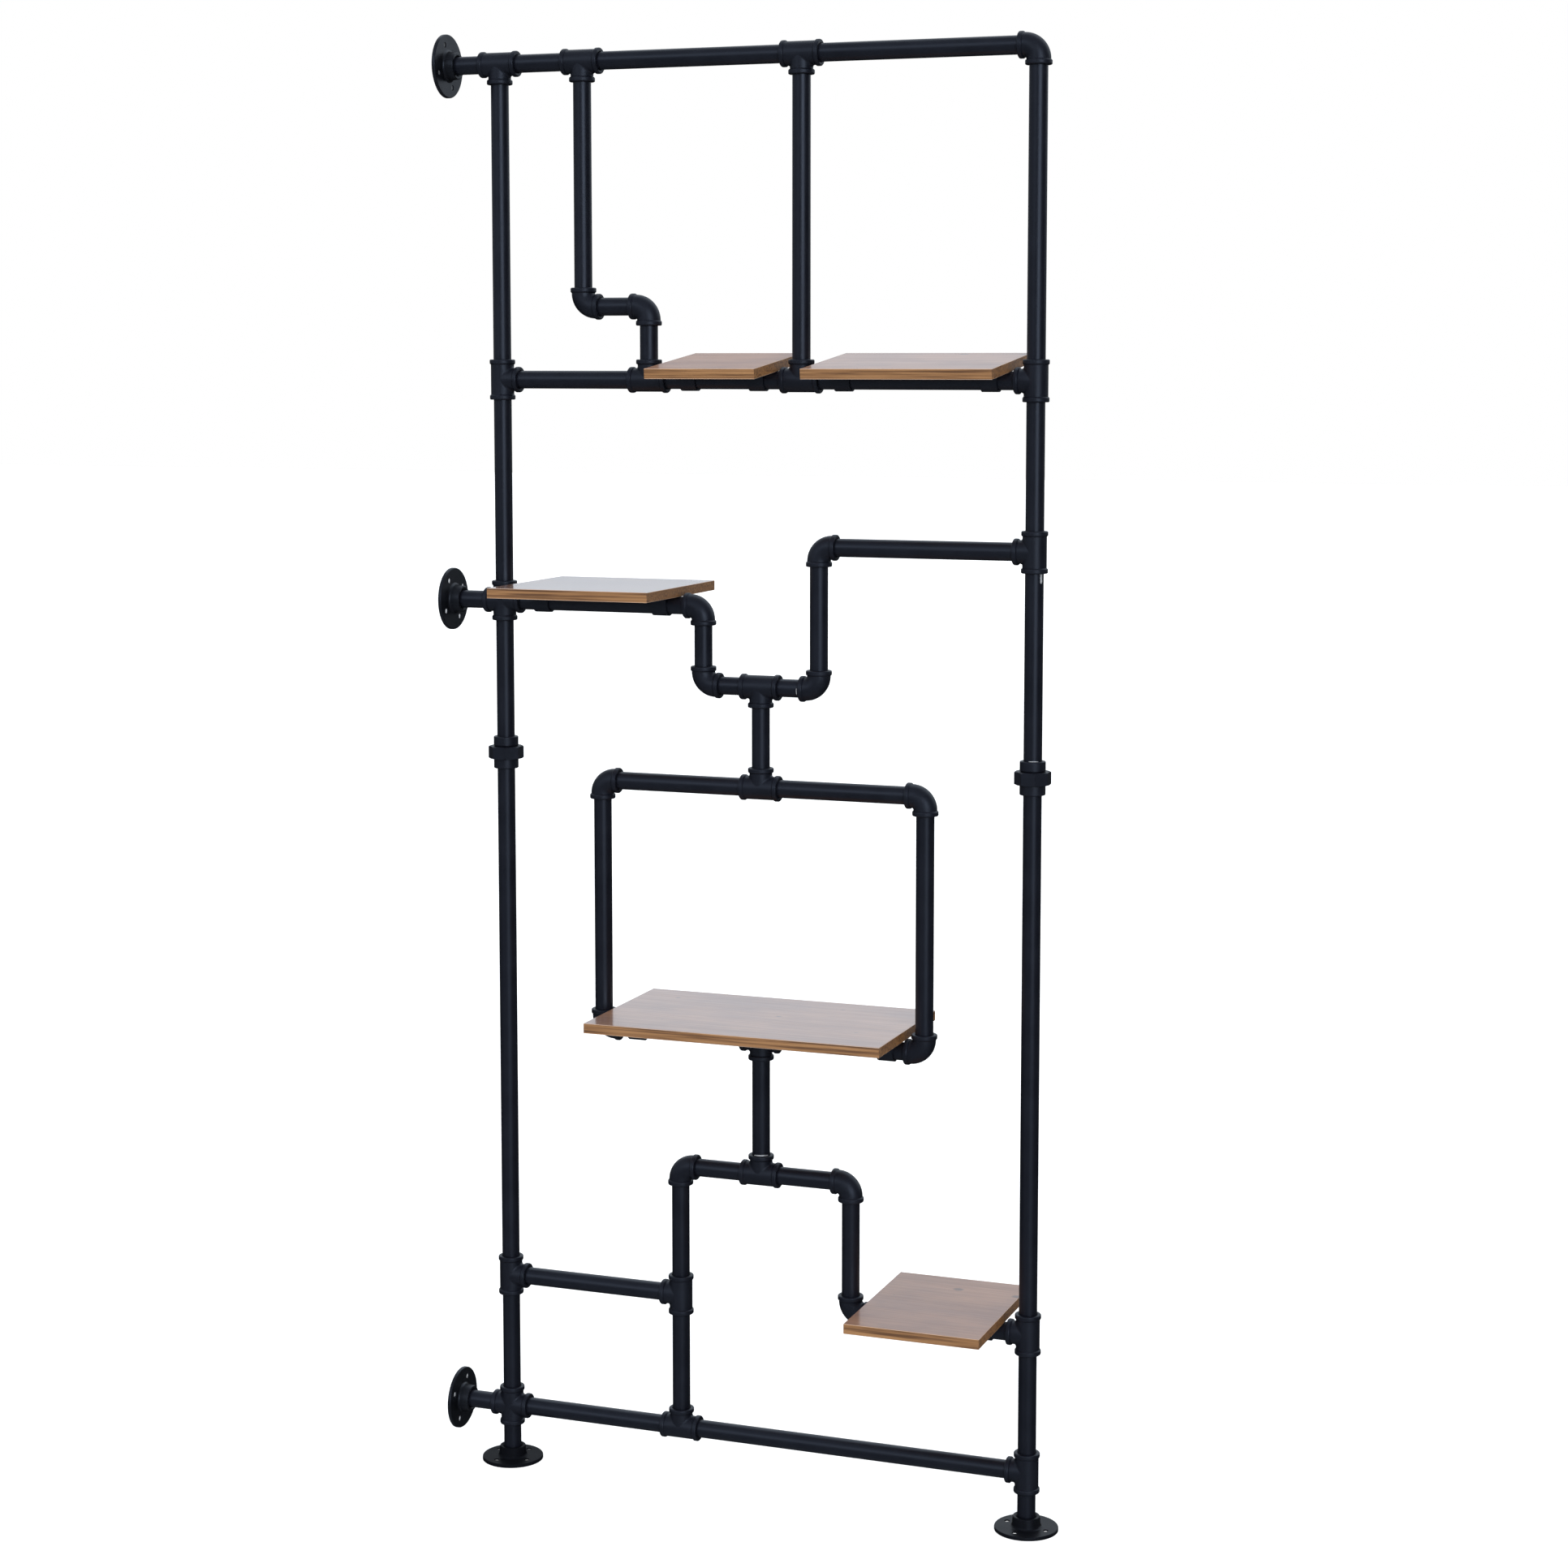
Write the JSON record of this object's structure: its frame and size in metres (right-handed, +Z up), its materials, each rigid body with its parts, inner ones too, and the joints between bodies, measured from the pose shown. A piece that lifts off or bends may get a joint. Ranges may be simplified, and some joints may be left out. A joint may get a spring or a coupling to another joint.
{
  "type": "pipe shelving unit",
  "caption": "Tall, narrow shelving unit of black half-inch pipe and fittings with wooden boards, screwed to a floor and to a wall at its side.",
  "frame": {"origin": "on the floor, at the centre of the left floor flange and on the left post's axis", "axes": "+X along the rails, from the side wall and the left post to the right post; +Y towards the back; +Z up"},
  "size_m": [0.7715, 0.212, 1.7475],
  "materials": {
    "pipe_steel": "satin black powder coat on steel pipe",
    "fitting_iron": "satin black powder coat on cast iron",
    "flange_iron": "satin black powder coat on cast iron",
    "union_iron": "satin black powder coat on cast iron",
    "strap_steel": "satin black paint on pressed steel",
    "screw_steel": "black phosphated steel",
    "oak_board": "satin clear coat on brown oak"
  },
  "bodies": {
    "frame": {"board_straps": "strap_steel", "bottom_rail_pipes": "pipe_steel", "bottom_rail_tees": "fitting_iron", "bottom_riser_pipes": "pipe_steel", "box_bottom_tee": "fitting_iron", "box_elbows": "fitting_iron", "box_hanger_pipe": "pipe_steel", "box_side_pipes": "pipe_steel", "box_top_pipes": "pipe_steel", "box_top_tee": "fitting_iron", "branch_rail_pipe": "pipe_steel", "branch_rail_tee": "fitting_iron", "bridge_arm_pipes": "pipe_steel", "bridge_elbows": "fitting_iron", "bridge_hanger_pipe": "pipe_steel", "bridge_leg_pipes": "pipe_steel", "bridge_tee": "fitting_iron", "centre_board": "oak_board", "centre_shelf_rails": "pipe_steel", "foot_nipples": "pipe_steel", "jog_elbows": "fitting_iron", "jog_pipes": "pipe_steel", "left_floor_flange": "flange_iron", "left_post_crosses": "fitting_iron", "left_post_middle_pipes": "pipe_steel", "loop_bottom_pipes": "pipe_steel", "loop_elbows": "fitting_iron", "loop_left_pipe": "pipe_steel", "loop_right_pipe": "pipe_steel", "loop_tee": "fitting_iron", "low_left_rail_pipe": "pipe_steel", "low_rail_tees": "fitting_iron", "lower_board": "oak_board", "lower_shelf_elbow": "fitting_iron", "lower_shelf_rail": "pipe_steel", "lower_wall_flange": "flange_iron", "middle_board": "oak_board", "middle_drop_pipe": "pipe_steel", "middle_shelf_rail": "pipe_steel", "middle_wall_flange": "flange_iron", "post_lower_pipes": "pipe_steel", "post_top_pipes": "pipe_steel", "right_floor_flange": "flange_iron", "right_post_middle_pipes": "pipe_steel", "strap_screws": "screw_steel", "top_corner_elbow": "fitting_iron", "top_rail_pipes": "pipe_steel", "top_rail_tees": "fitting_iron", "top_wall_flange": "flange_iron", "union_tail_pieces": "union_iron", "union_threaded_pieces": "union_iron", "upper_left_board": "oak_board", "upper_rail_drop_tees": "fitting_iron", "upper_rail_pipes": "pipe_steel", "upper_rail_post_tees": "fitting_iron", "upper_right_board": "oak_board", "wall_arm_nipples": "pipe_steel"},
    "left_union_nut_body": {"left_union_nut": "union_iron"},
    "right_union_nut_body": {"right_union_nut": "union_iron"}
  },
  "joints": [
    {"name": "left_union_nut_turn", "type": "hinge", "parent": "frame", "child": "left_union_nut_body", "pos_m": [0, 0, 0.887], "axis": [0, 0, 1], "range_deg": [0, 720]},
    {"name": "right_union_nut_turn", "type": "hinge", "parent": "frame", "child": "right_union_nut_body", "pos_m": [0.663, 0, 0.887], "axis": [0, 0, 1], "range_deg": [0, 720]}
  ]
}
